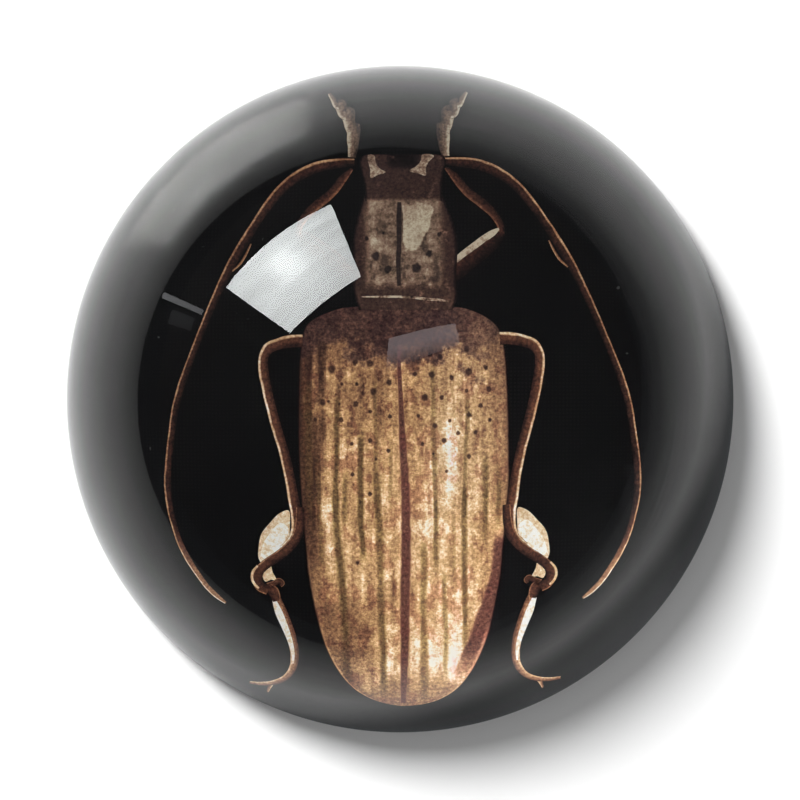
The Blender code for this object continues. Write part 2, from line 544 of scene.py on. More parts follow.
def limbPaint(name, shade, body, light, start, end, tip=0.0, stops="limb"):
    # A limb drawn as a round thing: tones of its shaded edge, its body and its lit edge, the
    # lit part running from start to end across it. Tip lightens its far end by that much.
    paint = inkPaint(name)
    across = paint.mark("across")
    along = paint.mark("along")
    rough = paint.noise(1100, 3.0) - 0.5
    ragged = across + rough * 0.5
    tone = paint.blend(shade, body, paint.step(ragged, -0.9, 0.0))
    broken = 0.95 + (paint.noise(500, 2.0) - 0.5) * 1.1
    tone = paint.blend(tone, light, paint.step(ragged, start, end) * broken)
    tone = tone + paint.step(along, 0.80, 0.96) * tip + rough * 0.12
    fade = paint.step(across.maths("ABSOLUTE", across) + rough * 0.20, 1.04, 0.90)
    colour = grained(paint, tone * fade, tones[stops], 0.9)
    paint.set("Base Color", colour)
    return paint


def dots(name, places, paint, layer, outline, count=14):
    # Small uneven rounds: for each (x, y, radius), three rings round a middle point. The
    # mark spot is 1 in the middle and 0 on the outer ring, at 1.7 radii.
    rng = np.random.default_rng(7)
    at = np.asarray(places, float)
    angle = np.arange(count) * tau / count
    reach = at[:, 2, None] * (1.7 + 0.17 * rng.standard_normal((len(at), count)))
    turn = np.stack([0.9 * np.cos(angle), np.sin(angle)], axis=-1)
    share = np.array([0.0, 0.33, 0.66, 1.0])
    seen = at[:, None, None, :2] + (reach[..., None] * turn)[:, None] * share[:, None, None]
    spot = np.broadcast_to((1 - share)[:, None], seen.shape[:3])
    sides = np.array(outline)[::-1]
    left, right = [np.interp(seen[..., 1], sides[:, 0], sides[:, i]) for i in (1, 2)]
    across = (2 * seen[..., 0] - left - right) / (right - left)
    return ink(name, seen, paint, layer, closed=True, poles=True, spot=spot, across=across)


def makeElytra():
    paint = elytraPaint()
    rowed("ink_elytra", elytraSet["outline"], paint, 3, rows=160, columns=81)
    wide = [(x, y, half * elytraSet["sutureSpread"]) for x, y, half in elytraSet["suture"]]
    stroke("ink_suture", wide, paint, 4, rows=100, columns=9, creased=True)
    dots("ink_punctures", elytraSet["dots"], paint, 5, elytraSet["outline"])


frontSet = {
    "pronotum": [
        (24.8, -4.08, 4.92), (24.4, -4.32, 5.16), (23.3, -4.68, 5.58), (21.6, -5.22, 6.3),
        (19.3, -5.64, 6.84), (17.2, -5.7, 6.89), (15.2, -5.58, 6.78), (13.7, -5.66, 6.78),
        (12.1, -5.4, 6.84), (10.7, -4.9, 6.3),
    ],
    "head": [
        (29.4, -3.84, 4.56), (29.2, -4.56, 5.28), (28.7, -4.86, 5.52), (27.7, -4.74, 5.34),
        (26.5, -4.44, 5.1), (25.1, -4.2, 4.98), (23.8, -4.2, 5.1),
    ],
    "browLeft": [
        (-3.8, 29.4), (-3.1, 29.3), (-2.9, 28.4), (-2.4, 27.7), (-1.7, 27.3), (-2.6, 27),
        (-3.5, 26.6), (-3.6, 27.7), (-3.8, 28.4),
    ],
    "browRight": [
        (2.6, 29.3), (4.1, 29.2), (3.5, 28.6), (3.1, 27.7), (3.1, 26.9), (2.3, 27.1),
        (1.1, 27.5), (1.8, 27.9), (2.5, 28.7),
    ],
    "palePatch": [
        (0.1, 23.5), (1.4, 23.7), (3, 23.6), (4.1, 23.2), (3.9, 21.8), (3.6, 20.5), (3, 19.3),
        (2.5, 18.1), (1.4, 17.6), (0.5, 17.9), (0.2, 19.1), (0.1, 21.5),
    ],
    "medianSpread": 2.0,  # as the suture's
    "median": [
        (-0.1, 23.7, 0.17), (-0.1, 22.1, 0.23), (-0.1, 19.1, 0.23), (-0.2, 16.4, 0.2),
        (-0.1, 13.6, 0.16),
    ],
    "collarLine": [
        (-4.6, 12.3, 0.06), (-2.4, 12.3, 0.11), (-0.2, 12.3, 0.13), (1.7, 12.2, 0.14),
        (3.4, 12, 0.16), (4.8, 11.9, 0.14), (5.8, 11.7, 0.1),
    ],
    "dots": [
        (-2.9, 17.2, 0.50), (-1.5, 15.6, 0.50), (2, 15.8, 0.56), (3.5, 17.5, 0.42),
        (4.7, 19.8, 0.28), (-4, 19.3, 0.24), (-2, 20, 0.20),
    ],
}


def forebodyPaint():
    # Dark head and border round a mottled field, and a pale patch right of the midline
    paint = inkPaint("forebody_ink")
    x, y = seenPlace(paint)
    cloud = paint.noise(520, 3.0) - 0.5
    rough = paint.noise(1250, 4.0, roughness=0.65) - 0.5
    middle = x - 0.45
    side = middle.maths("ABSOLUTE", middle) + cloud * 1.1 + rough * 1.5
    field = paint.step(side, 5.0, 4.1) * paint.step(y + rough * 0.8, 24.3, 23.7)
    field = field * paint.step(y + cloud * 1.2 + rough * 1.5, 13.0, 14.4)
    upper = paint.step(y, 17.5, 23.0) * paint.step(x, 1.5, -2.0)
    ground = 0.405 + cloud * 0.45 + rough * 0.85 + upper * 0.05
    worn = paint.step(rough + cloud * 0.6, -0.05, -0.16) * paint.step(y, 22.5, 19.0)
    ground = paint.blend(ground, 0.23, worn * 0.6)
    collar = paint.step(y, 13.8, 12.6) * paint.step(y, 10.0, 11.5)
    flank = paint.step(side, 4.6, 5.8) * collar
    base = 0.178 + rough * 0.09 + flank * (0.06 + cloud * 0.3)
    base = base + paint.step(side, 5.6, 4.6) * paint.step(y, 24.6, 22.0) * 0.02
    mouth = paint.band(x + rough, 0.35, 1.1, 1.3) * paint.step(y, 27.3, 28.6)
    base = paint.blend(base, 0.07, mouth)
    tone = paint.blend(base, ground, field)
    pale = paint.mark("pale")
    bare = paint.step(pale + rough * 0.30 + cloud * 0.10, 0.02, 0.14)
    rubbed = paint.step(y, 22.2, 23.6) * paint.step(rough, -0.12, 0.04)
    tone = paint.blend(tone, 0.66 + rough * 0.22 + cloud * 0.3, bare * (1 - rubbed * 0.5))
    crease = paint.step(paint.mark("crease") + rough * 0.7, 0.16, 0.46)
    tone = paint.blend(tone, 0.14, crease * 0.95 * paint.step(y, 12.8, 14.0))
    spot = paint.step(paint.mark("spot") + rough * 0.8, 0.20, 0.58)
    tone = paint.blend(tone, 0.13, spot * 0.95)
    across = paint.mark("across")
    fade = paint.step(across.maths("ABSOLUTE", across) + rough * 0.08, 1.0, 0.92)
    colour = grained(paint, tone * (0.35 + fade * 0.65), tones["front"], 0.65)
    colour = paint.mix(1 - field, colour, (1.10, 0.93, 0.93), "MULTIPLY")
    paint.set("Base Color", colour)
    return paint


def makeForebody():
    paint = forebodyPaint()
    rowed("ink_pronotum", frontSet["pronotum"], paint, 6, rows=70, columns=61)
    rowed("ink_head", frontSet["head"], paint, 7, rows=40, columns=41)
    patch("ink_pronotum_patch", frontSet["palePatch"], paint, 7, mark="pale")
    wide = [(x, y, half * frontSet["medianSpread"]) for x, y, half in frontSet["median"]]
    stroke("ink_pronotum_line", wide, paint, 8, rows=50, creased=True)
    dots("ink_pronotum_dots", frontSet["dots"], paint, 8, frontSet["pronotum"])
    gold = toneInk("collar_ink", 0.52, 2.2, tones["front"])
    stroke("ink_collar_line", frontSet["collarLine"], gold, 7, rows=60)
    brow = toneInk("brow_ink", 0.50, 0.7, tones["front"])
    patch("ink_brow_left", frontSet["browLeft"], brow, 8)
    patch("ink_brow_right", frontSet["browRight"], brow, 8)


limbSet = {
    "antenna": [
        (5.2, 28.6, 0.42), (7.2, 28.5, 0.6), (9.4, 28.2, 0.66), (11.5, 27.4, 0.66),
        (13.7, 25.9, 0.6), (15.6, 23.8, 0.58), (17.2, 21.6, 0.52), (18.7, 19.3, 0.58),
        (20.3, 16.7, 0.55), (22, 13.4, 0.48), (23.9, 9.2, 0.43), (25.4, 5.6, 0.42),
        (26.7, 2.2, 0.46), (27.5, -0.6, 0.43), (28, -3.7, 0.42), (28.4, -6.7, 0.43),
        (28.6, -9.1, 0.43), (28.5, -11.5, 0.41), (28, -14.2, 0.36), (27.4, -16.3, 0.34),
        (26.4, -18.5, 0.34), (25.3, -20.3, 0.31), (24.1, -22, 0.3), (22.9, -23.2, 0.26),
        (22, -23.9, 0.14),
    ],
    "antennaJoint": [
        (17.9, 19.1, 0.08), (18.5, 17.9, 0.13), (19.2, 16.8, 0.14), (20.2, 15.9, 0.09),
    ],
    "tarsusFront": [
        (5.5, 29.2, 0.48, 0.48), (5.3, 30.5, 0.66, 0.66), (5.3, 31.3, 0.82, 0.74),
        (5.3, 32.2, 0.96, 0.72), (5.5, 32.8, 1.15, 0.72), (5.6, 33.1, 0.76, 0.74),
        (5.8, 33.8, 0.91, 0.72), (6, 34.3, 1.18, 0.72), (6.4, 34.4, 0.6, 0.6),
        (6.7, 35, 0.7, 0.54), (6.8, 35.4, 0.96, 0.5), (7.1, 35.5, 0.3, 0.48),
        (7.5, 36.2, 0.34, 0.36), (8, 36.9, 0.18, 0.18),
    ],
    "tibiaFront": [
        (5.5, 27.8, 0.18), (6.6, 26.7, 0.48), (8, 25, 0.54), (9.8, 23.6, 0.58),
        (11.3, 22.2, 0.5), (12.1, 20.8, 0.43), (12.2, 19.6, 0.43),
    ],
    "femurFront": [
        (12.4, 20, 0.36), (11.4, 19, 0.78), (10.2, 18, 0.96), (8.6, 16.9, 1.08),
        (7.4, 15.9, 1.14), (6, 14.9, 1.14),
    ],
    "femurFrontLight": [
        (11.9, 20.5, 0.12), (11.2, 20, 0.36), (10.1, 19.3, 0.4), (8.9, 18.4, 0.4),
        (7.8, 17.6, 0.38), (6.7, 16.7, 0.34),
    ],
    "legMiddle": [
        (12, 7.3, 0.78), (13.4, 7.3, 0.78), (14.9, 7, 0.72), (16.1, 6.5, 0.7),
        (16.7, 5.6, 0.6), (16.8, 4.2, 0.62), (16.5, 2, 0.61), (16, -0.5, 0.61),
        (15.4, -3, 0.62), (14.8, -5.2, 0.6), (14.3, -7.3, 0.62), (13.9, -9.5, 0.62),
        (13.6, -11.6, 0.66), (13.3, -13.6, 0.66), (13.3, -15.2, 0.66), (13.8, -16.7, 0.66),
        (14.9, -17.8, 0.66),
    ],
    "femurHind": [
        (14.3, -13), (15.2, -13.3), (16.5, -14.5), (17.5, -15.7), (17.9, -17.3),
        (17.9, -18.8), (17.3, -19.6), (16.3, -19), (15.5, -18), (14.4, -16.7), (14.1, -14.8),
    ],
    "femurHindLight": [
        (14.3, -15.1), (15.2, -14.5), (16.5, -15.7), (17.4, -17.1), (17.6, -18.5),
        (16.9, -18.9), (15.7, -17.9), (14.7, -16.6),
    ],
    "bandHind": [
        (12.8, -12.7, 0.48), (12.9, -14.5, 0.54), (13.3, -16.2, 0.6), (14.3, -17.5, 0.62),
        (15.6, -18.5, 0.62), (16.9, -19.3, 0.6), (17.9, -20.2, 0.6), (18.2, -21.2, 0.6),
        (17.8, -22.1, 0.58), (16.9, -22.6, 0.55),
    ],
    "loopLight": [
        (18.1, -19.6, 0.12), (18.7, -20.3, 0.13), (18.8, -21.1, 0.14), (18.5, -21.8, 0.14),
        (18, -22.3, 0.12),
    ],
    "loopTan": [
        (16.6, -19.4), (17.2, -20.2), (17.5, -20.9), (17.2, -21.5), (16.5, -21.3),
        (15.9, -21.4), (16.3, -20.4),
    ],
    "hook": [
        (16.9, -22.1, 0.43), (16.2, -21.8, 0.34), (15.5, -21.5, 0.36), (15.2, -21.8, 0.31),
        (15.4, -22.1, 0.17),
    ],
    "ankle": [(16.9, -22.2, 0.55), (16.3, -22.7, 0.65), (16, -23.4, 0.55), (15.9, -23.9, 0.43)],
    "tarsusHind": [
        (16.1, -23.2, 0.48), (15.5, -24.7, 0.62), (14.8, -26.5, 0.6), (14.2, -28.4, 0.58),
        (13.9, -30.4, 0.52), (14.1, -31.8, 0.47), (15.1, -33.1, 0.36), (16.4, -33.6, 0.30),
        (17.8, -33.7, 0.23), (19.3, -33.5, 0.15),
    ],
    "tarsusHindLight": [
        (16.2, -23.8, 0.24), (15.7, -25.2, 0.42), (15.0, -27, 0.38), (14.45, -28.6, 0.30),
        (14.1, -30.2, 0.20), (14.1, -31.4, 0.10),
    ],
    "spur": [(16.7, -33.7, 0.29), (17, -34.2, 0.22), (17.2, -34.7, 0.13)],
}


def makeLimbs():
    antenna = limbPaint("antenna_ink", 0.10, 0.16, 0.60, 0.42, 0.72, 0.34)
    joint = limbPaint("antenna_joint_ink", 0.30, 0.45, 0.60, 0.0, 0.5)
    tarsus = limbPaint("front_tarsus_ink", 0.22, 0.38, 0.72, 0.10, 0.75, stops="front")
    tibia = limbPaint("front_tibia_ink", 0.13, 0.19, 0.36, 0.20, 0.80)
    femur = limbPaint("front_femur_ink", 0.08, 0.13, 0.20, 0.10, 0.90)
    middle = limbPaint("middle_leg_ink", 0.14, 0.25, 0.82, 0.40, 0.70)
    pale = toneInk("pale_ink", 0.74, 0.7, tones["limb"], 0.6)
    bright = toneInk("bright_ink", 0.97, 0.6, tones["limb"], 0.6)
    glint = toneInk("front_femur_light_ink", 0.74, 0.9, tones["front"], 0.8)
    creamy = toneInk("femur_ink", 0.80, 0.4, tones["limb"], 0.6)
    maroon = limbPaint("hind_band_ink", 0.13, 0.21, 0.56, 0.62, 1.00)
    rosy = limbPaint("hind_tarsus_ink", 0.26, 0.47, 0.74, 0.20, 0.75)
    for side, word in ((1, "right"), (-1, "left")):
        stroke("ink_antenna_" + word, limbSet["antenna"], antenna, 1, side, -1, rows=220)
        stroke("ink_antenna_joint_" + word, limbSet["antennaJoint"], joint, 2, side, rows=24)
        stroke("ink_front_tarsus_" + word, limbSet["tarsusFront"], tarsus, 1, side, rows=90)
        stroke("ink_front_tibia_" + word, limbSet["tibiaFront"], tibia, 1, side)
        stroke("ink_front_femur_" + word, limbSet["femurFront"], femur, 2, side)
        lightInk = glint if side > 0 else femur
        stroke("ink_front_femur_light_" + word, limbSet["femurFrontLight"], lightInk, 3, side)
        patch("ink_hind_femur_" + word, limbSet["femurHind"], creamy, 1, side)
        patch("ink_hind_femur_light_" + word, limbSet["femurHindLight"], bright, 2, side)
        stroke("ink_middle_leg_" + word, limbSet["legMiddle"], middle, 4, side, -1, rows=110)
        stroke("ink_hind_tarsus_" + word, limbSet["tarsusHind"], rosy, 2, side, -1, rows=80)
        stroke("ink_hind_tarsus_light_" + word, limbSet["tarsusHindLight"], bright, 3, side)
        stroke("ink_hind_spur_" + word, limbSet["spur"], rosy, 1, side, rows=16)
        patch("ink_hind_loop_" + word, limbSet["loopTan"], creamy, 2, side)
        stroke("ink_hind_ankle_" + word, limbSet["ankle"], maroon, 4, side, rows=24)
        stroke("ink_hind_hook_" + word, limbSet["hook"], maroon, 4, side, rows=30)
        stroke("ink_hind_band_" + word, limbSet["bandHind"], maroon, 5, side, -1, rows=80)
        stroke("ink_hind_loop_light_" + word, limbSet["loopLight"], pale, 6, side, rows=30)


makeLimbs()
makeElytra()
makeForebody()
print("beetle drawn")


cardSet = {
    "rasterPitch": 0.30 * mm,
    "rimFrom": 21.5 * mm,  # the card is darker from here outwards
    "rimTo": 25.0 * mm,
}


def cardPaint():
    # Black print: a faint raster of rows and columns, uneven ink and a few bare specks
    paint = Paint("card_ink", roughness=0.40, specular=0.03)
    x, y = paint.flat(paint.place())
    pitch = tau / cardSet["rasterPitch"]
    rows = (y * pitch).maths("SINE", y * pitch)
    columns = (x * pitch).maths("SINE", x * pitch)
    raster = paint.step(rows + columns + (paint.noise(240, 2.0) - 0.5) * 4, 0.6, 2.0)
    colour = paint.mix(raster * 0.8, night, (0.0085, 0.0080, 0.0078))
    # darker towards the card's rim
    gone = (x * x + y * y) ** 0.5
    rim = paint.step(gone, cardSet["rimFrom"], cardSet["rimTo"])
    colour = paint.mix(rim * 0.7, colour, (0, 0, 0))
    speck = paint.step(paint.noise(1500, 0.0), 0.86, 0.90)
    colour = paint.mix(speck * 0.5, colour, (0.10, 0.10, 0.10))
    paint.set("Base Color", colour)
    return paint


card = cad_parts["picture_disc"]
card.data.materials.clear()
card.data.materials.append(cardPaint().material)

feltSet = {
    "turns": 360,
    "round": 0.45 * mm,             # radius of its cut edge
    "roundSteps": 5,
    "fuzz": 0.10 * mm,              # how far the edge is drawn in
    "waves": (5, 9, 17, 31, 57),    # round the pad
    "edgeFrom": 0.97,               # share of the radius beyond which the edge is uneven
}


def feltPaint():
    # Wool felt: short fibres lying all ways in an uneven tone, with a painted sheen that makes
    # it lighter in tufts where they stand up
    paint = Paint("black_felt", roughness=0.95, specular=0.2)
    fibres = paint.noise(2600, 4.0, roughness=0.7)
    tufts = paint.noise(420, 3.0)
    colour = paint.mix(fibres, (0.006, 0.006, 0.007), (0.030, 0.029, 0.031))
    # painted sheen: lighter tufts where the fibres stand up
    colour = paint.mix(paint.step(tufts, 0.5, 0.75) * 0.4, colour, (0.038, 0.036, 0.038))
    paint.set("Base Color", colour)
    paint.set("Sheen Weight", 0.35)
    paint.set("Sheen Roughness", 0.5)
    paint.bump(fibres + tufts * 0.5, 0.12 * mm, 0.6)
    return paint


def makeFelt():
    # The pad's section is a flat top, a rounded edge and a flat underside. Its edge is drawn
    # in by a few waves and by fine noise, as cut felt is.
    radius, thickness, soft = feltHigh.x, feltHigh.z - feltLow.z, feltSet["round"]
    turn = np.linspace(0, pi / 2, feltSet["roundSteps"] + 1)
    top = np.stack([radius - soft + soft * np.sin(turn),
                    feltHigh.z - soft + soft * np.cos(turn)], axis=1)
    under = np.stack([radius - soft + soft * np.cos(turn),
                      feltLow.z + soft - soft * np.sin(turn)], axis=1)
    middle = np.array([[radius, feltLow.z + thickness / 2]])
    inward = np.array([[1.0, 0.9]]).T * np.array([[radius, 0]])
    start, end = inward + [0, feltHigh.z], inward[::-1] + [0, feltLow.z]
    profile = np.concatenate([[[0, feltHigh.z]], start[1:], top, middle, under, end[:1],
                              [[0, feltLow.z]]])
    felt = turned("felt_pad_soft", profile, feltSet["turns"])
    points = np.empty(len(felt.data.vertices) * 3)
    felt.data.vertices.foreach_get("co", points)
    points = points.reshape(-1, 3)
    rng = np.random.default_rng(11)
    angle = np.arctan2(points[:, 1], points[:, 0])
    waves = sum(np.sin(angle * n + n * n) / n for n in feltSet["waves"])
    pull = feltSet["fuzz"] * (0.55 + 0.25 * waves + 0.35 * rng.random(len(points)))
    reach = np.hypot(points[:, 0], points[:, 1])
    edge = reach > radius * feltSet["edgeFrom"]
    points[edge, :2] *= (1 - np.clip(pull[edge], 0, None) / reach[edge])[:, None]
    felt.data.vertices.foreach_set("co", points.ravel())
    felt.data.update()
    return finish(felt, feltPaint(), ["felt_pad"])


domeSet = {
    "turns": 288,
    "crownSteps": 120,
    "skirtSteps": 10,
    "edgeSteps": 8,
    "baseSteps": 4,
    "edgeRound": 0.6 * mm,
    "bond": 0.05 * mm,  # the glue lets the card's face lie this far inside the glass
    "tint": (0.93, 0.97, 0.96),
    "tintDensity": 1.2,
}


def glassPaint():
    paint = Paint("clear_dome_glass", roughness=0.0, specular=0.5)
    paint.set("Base Color", (1.0, 1.0, 1.0))
    paint.set("Transmission Weight", 1.0)
    paint.set("IOR", glassIor)
    sockets = {"Color": domeSet["tint"], "Density": domeSet["tintDensity"]}
    paint.give("Volume", paint.node("ShaderNodeVolumeAbsorption", {}, sockets))
    return paint


def makeDome():
    # A circle's arc from the crown past the widest place, a small rounded edge, and the flat
    # base, which reaches a little below the card's face because the two are bonded.
    baseZ = cardFaceZ - domeSet["bond"] - domeCentreZ
    soft = domeSet["edgeRound"]
    lowest = np.arccos((baseZ + soft) / domeRadius)
    crown = np.linspace(0, pi / 2, domeSet["crownSteps"] + 1)
    skirt = np.linspace(pi / 2, lowest, domeSet["skirtSteps"] + 1)[1:]
    fall = np.concatenate([crown, skirt])
    side = domeRadius * np.stack([np.sin(fall), np.cos(fall)], axis=1)
    turn = np.linspace(0, pi / 2, domeSet["edgeSteps"] + 1)[1:]
    edge = np.stack([side[-1, 0] - soft + soft * np.cos(turn),
                     baseZ + soft - soft * np.sin(turn)], axis=1)
    share = np.linspace(1, 0, domeSet["baseSteps"] + 1)[1:, None]
    base = edge[-1] * share * [1, 0] + [0, baseZ]
    profile = np.concatenate([side, edge, base]) + [0, domeCentreZ]
    dome = turned("clear_dome_polished", profile, domeSet["turns"])
    return finish(dome, glassPaint(), ["clear_dome"])


makeFelt()
makeDome()
print("felt and dome made")


def seenBy(piece, *kinds):
    for kind in ("camera", "diffuse", "glossy", "transmission", "volume_scatter", "shadow"):
        setattr(piece, "visible_" + kind, kind in kinds)


def staged(name, corners, faces, paint, kinds, turn=(0, 0, 0), where=(0, 0, 0)):
    # a piece of the studio, which only the named kinds of ray see
    mesh = bpy.data.meshes.new(name)
    mesh.from_pydata(corners, [], faces)
    mesh.materials.append(paint.material)
    piece = bpy.data.objects.new(name, mesh)
    piece.rotation_euler = turn
    piece.location = where
    bpy.context.scene.collection.objects.link(piece)
    seenBy(piece, *kinds)
    return piece


def plane(name, width, height, paint, kinds, turn=(0, 0, 0), where=(0, 0, 0)):
    # a flat rectangle that faces its own +Z
    x, y = width / 2, height / 2
    corners = [(-x, -y, 0), (x, -y, 0), (x, y, 0), (-x, y, 0)]
    return staged(name, corners, [(0, 1, 2, 3)], paint, kinds, turn, where)


floorSet = {
    "span": 12,
    "white": (0.82, 0.82, 0.82),
    "farWhite": (0.62, 0.62, 0.62),      # what it gives off beyond the lamps' reach
    "farFrom": 0.6,
    "farTo": 2.2,
    "sheenHeight": 0.1 * mm,
    "edgeHeight": 0.4 * mm,
    # the shade over the mirrored floor
    "fadeFrom": 0.03,
    "fadeLength": 0.17,
    "fadeDark": 0.6,
    "pool": (0.199, 0.043, 0.386),       # what of the floor the glass mirrors: x, y, radius
    "poolSoft": 0.004,
    "shadowHalves": (0.072, 0.044),      # of the mirrored shadow, along and across it
    "shadowDark": 0.93,
    # how faintly the full shade glows, a painted reflection of the dim room
    "mirroredBlack": 0.06,
}


def floorPaint():
    # White, and going over into the pale surround beyond the lamps' reach
    paint = Paint("floor_white", roughness=1.0, specular=0.0)
    paint.set("Base Color", floorSet["white"])
    grow = paint.step(paint.distance((0, 0, 0)), floorSet["farFrom"], floorSet["farTo"])
    paint.set("Emission Color", paint.mix(grow, (0, 0, 0), floorSet["farWhite"]))
    paint.set("Emission Strength", 1.0)
    return paint


def sheenPaint():
    # The floor as the dome mirrors it: with some sheen, brushed in rings round the dome
    paint = Paint("floor_sheen_white", roughness=0.16, specular=1.0)
    x, y = paint.flat(paint.place())
    rings = {0: y.maths("ARCTAN2", y, x) * 0.5, 1: (x * x + y * y) ** 0.5 * 45.0}
    where = paint.node("ShaderNodeCombineXYZ", {}, rings)
    streak = paint.node("ShaderNodeTexNoise", {}, {"Vector": where, "Scale": 4.0, "Detail": 4.0})
    paint.set("Coat Weight", 0.75 + (streak - 0.5) * 2.2)
    paint.set("Coat Roughness", 0.20)
    paint.set("Specular Tint", (1.0, 0.93, 0.84))
    paint.set("Base Color", floorSet["white"])
    return paint


def edgePaint():
    # A shade over the mirrored floor. It grows outwards, is full beyond the pool, as where a
    # table ends, and lies under the dome on the side away from the lamp.
    paint = Paint("reflected_edge_shade")
    away = (paint.distance((0, 0, 0)) - floorSet["fadeFrom"]) / floorSet["fadeLength"]
    dark = away.maths("MAXIMUM", away, 0.0)
    dark = dark.maths("MINIMUM", dark, 1.0) ** 0.8 * floorSet["fadeDark"]
    *middle, radius = floorSet["pool"]
    gone = paint.distance((*middle, 0))
    dark = dark.maths("MAXIMUM", dark, paint.step(gone, radius - floorSet["poolSoft"], radius))
    lean = radians(lampSet["topAzimuth"])
    long, wide = floorSet["shadowHalves"]
    x, y = paint.flat(paint.place())
    ahead = (x * -np.cos(lean) + y * -np.sin(lean)) / long
    aside = (x * np.sin(lean) + y * -np.cos(lean)) / wide
    far = (ahead * ahead + aside * aside) ** 0.5
    under = paint.step(far, 1.35, 0.80) * paint.step(ahead, -0.15, 0.35)
    dark = dark.maths("MAXIMUM", dark, under * floorSet["shadowDark"])
    # where the shade is full it still glows faintly: a painted reflection of the dim room
    sockets = {"Color": (0.9, 0.95, 1), "Strength": floorSet["mirroredBlack"]}
    black = paint.node("ShaderNodeEmission", {}, sockets)
    clear = paint.node("ShaderNodeBsdfTransparent", {}, {})
    paint.give("Surface", paint.node("ShaderNodeMixShader", {}, {0: dark, 1: clear, 2: black}))
    return paint


def makeFloor():
    # one floor for the eye and the lamps, and two layers that only the dome mirrors
    span = floorSet["span"]
    everything = ("camera", "diffuse", "transmission", "volume_scatter", "shadow")
    sheenPlace, edgePlace = (0, 0, floorSet["sheenHeight"]), (0, 0, floorSet["edgeHeight"])
    plane("floor", span, span, floorPaint(), everything)
    plane("floor_sheen", span, span, sheenPaint(), ["glossy"], where=sheenPlace)
    plane("reflected_edge", span, span, edgePaint(), ["glossy"], where=edgePlace)


shadeSet = {"gap": 0.1 * mm, "steps": 40, "turns": 96}


def makeShade():
    # What the lit floor sees of the dome: a dark body, so that no light leaks under it. A
    # quarter circle just outside the glass, then straight down nearly to the floor.
    fall = np.linspace(0, pi / 2, shadeSet["steps"] + 1)
    profile = np.stack([np.sin(fall), np.cos(fall)], axis=1) * (domeRadius + shadeSet["gap"])
    foot = [[profile[-1, 0], shadeSet["gap"]]]
    profile = np.concatenate([profile + [0, domeCentreZ], foot])
    shell = turned("dome_shade", profile, shadeSet["turns"])
    dark = Paint("dome_shade_black", roughness=1.0, specular=0.0)
    dark.set("Base Color", (0.02, 0.02, 0.02))
    shell.data.materials.append(dark.material)
    seenBy(shell, "diffuse")


# brightness of the surround, by the way it is seen
roomSet = {
    "paleLow": 0.90,    # at the horizon
    "paleHigh": 0.28,   # overhead
    "fill": 0.41,       # as the light that surfaces get
    "glareToward": (-0.45, 0.88, 0.10),
    "glareLow": 0.012,  # mirrored in the glass, on the side away from the softbox
    "glareHigh": 0.085,
}


def makeWorld():
    # Pale all round for the eye and through the glass, softer as fill light, and dark for
    # what the glass mirrors.
    world = bpy.data.worlds.new("studio")
    bpy.context.scene.world = world
    world.use_nodes = True
    room = Nodes(world.node_tree)

    def sight(name):
        return room.node("ShaderNodeLightPath", {}, {}, name)

    def graded(value, start, end, low, high):
        sockets = {"Value": value, "From Min": start, "From Max": end}
        sockets.update({"To Min": low, "To Max": high})
        level = room.node("ShaderNodeMapRange", {}, sockets)
        return room.node("ShaderNodeBackground", {}, {"Color": level})

    def choose(factor, first, second):
        return room.node("ShaderNodeMixShader", {}, {0: factor, 1: first, 2: second})

    around = room.node("ShaderNodeTexCoord", {}, {})
    height = room.node("ShaderNodeSeparateXYZ", {}, {0: around}, 2)
    pale = graded(height, 0.15, 0.75, roomSet["paleLow"], roomSet["paleHigh"])
    fill = room.node("ShaderNodeBackground", {}, {"Color": (roomSet["fill"],) * 3})
    shown = choose(sight("Is Camera Ray"), fill, pale)
    # through the glass, the eye sees the pale side and a lit surface gets the fill
    depth = sight("Diffuse Depth")
    through = sight("Is Transmission Ray") * depth.maths("LESS_THAN", depth, 0.5)
    shown = choose(through, shown, pale)
    # the mirrored room is a little less dark behind the softbox
    toward = room.node("ShaderNodeVectorMath", {"operation": "DOT_PRODUCT"},
                       {0: around, 1: roomSet["glareToward"]}, "Value")
    glare = graded(toward, -0.6, 0.9, roomSet["glareLow"], roomSet["glareHigh"])
    shown = choose(sight("Is Glossy Ray"), shown, glare)
    room.feed(room.tree.nodes["World Output"].inputs["Surface"], shown)


lampSet = {
    "softboxAzimuth": 128.4,  # degrees from +X
    "softboxDistance": 0.975,
    "softboxSize": (0.70, 0.73),
    "softboxHeight": 0.695,
    "softboxLean": 7.2,
    "softboxShine": 19.47,    # radiance that the dome mirrors
    "softboxLight": 23.0,     # radiance that lights the picture
    "topAzimuth": 130.0,
    "topElevation": 61.0,
    "topDistance": 1.1,
    "topSize": (0.25, 0.51),
    "topPower": 17.0,
}


def softboxPaint():
    # Cloth over a lamp, brightest at one spot and creased across
    paint = Paint("softbox_glow")
    x, y = paint.flat(paint.place())
    spotX, spotY = x + 0.03, y + 0.13
    far = (spotX * spotX * 1.4 + spotY * spotY * 0.8) ** 0.5
    fold = paint.noise(14.0, 2.0, (0.15, 1.0, 1.0)) - 0.5
    weave = paint.noise(40.0, 1.0, (0.12, 1.0, 1.0)) - 0.5
    level = (0.64 + paint.step(x, 0.25, -0.30) * 0.09 + paint.step(far, 0.50, 0.0) * 0.20
             + paint.step(far, 0.20, 0.0) * 0.30 + fold * 0.50 + weave * 0.14)
    paint.glow((0.965, 1.0, 0.995), level * lampSet["softboxShine"])
    return paint


def hang(name, shape, size, power, turn, where, hidden):
    # a lamp that neither the eye nor the glass's mirroring sees, nor the rays of one more kind
    light = bpy.data.lights.new(name, "AREA")
    light.shape = shape
    light.size, light.size_y = size
    light.energy = power
    lamp = bpy.data.objects.new(name, light)
    lamp.location = where
    lamp.rotation_euler = turn
    for kind in ("camera", "glossy", hidden):
        setattr(lamp, "visible_" + kind, False)
    bpy.context.scene.collection.objects.link(lamp)


